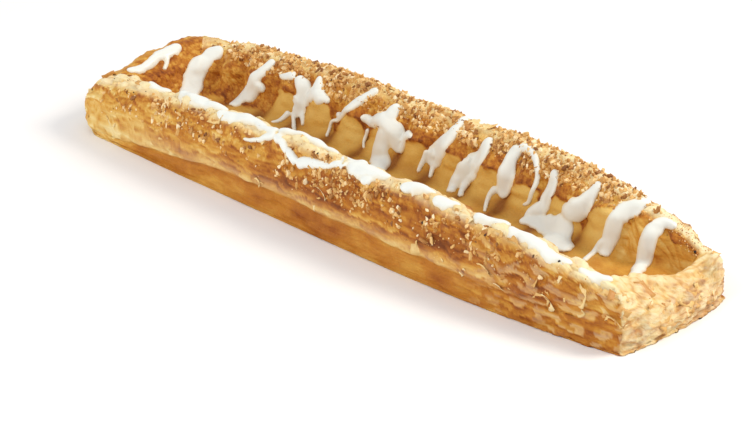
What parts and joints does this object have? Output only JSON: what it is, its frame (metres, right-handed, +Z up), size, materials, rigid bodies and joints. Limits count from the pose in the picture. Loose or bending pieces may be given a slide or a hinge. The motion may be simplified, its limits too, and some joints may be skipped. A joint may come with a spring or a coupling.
{
  "type": "danish pastry strip",
  "caption": "Long trough-shaped danish pastry strip with folded flaky sides, a chopped-nut crust and white icing runs drizzled across it.",
  "frame": {"origin": "middle of the flat underside, at the centre of the object's box", "axes": "+X along the strip to the end with the low thin wall, +Y across it to the flap with the long icing runs, +Z up"},
  "size_m": [0.4029, 0.1106, 0.0476],
  "materials": {
    "pastry_dough": "matt baked flaky dough",
    "white_icing": "smooth set sugar icing",
    "chopped_nuts": "toasted chopped nuts"
  },
  "bodies": {
    "root": {"pastry_strip": "pastry_dough"}
  },
  "joints": []
}
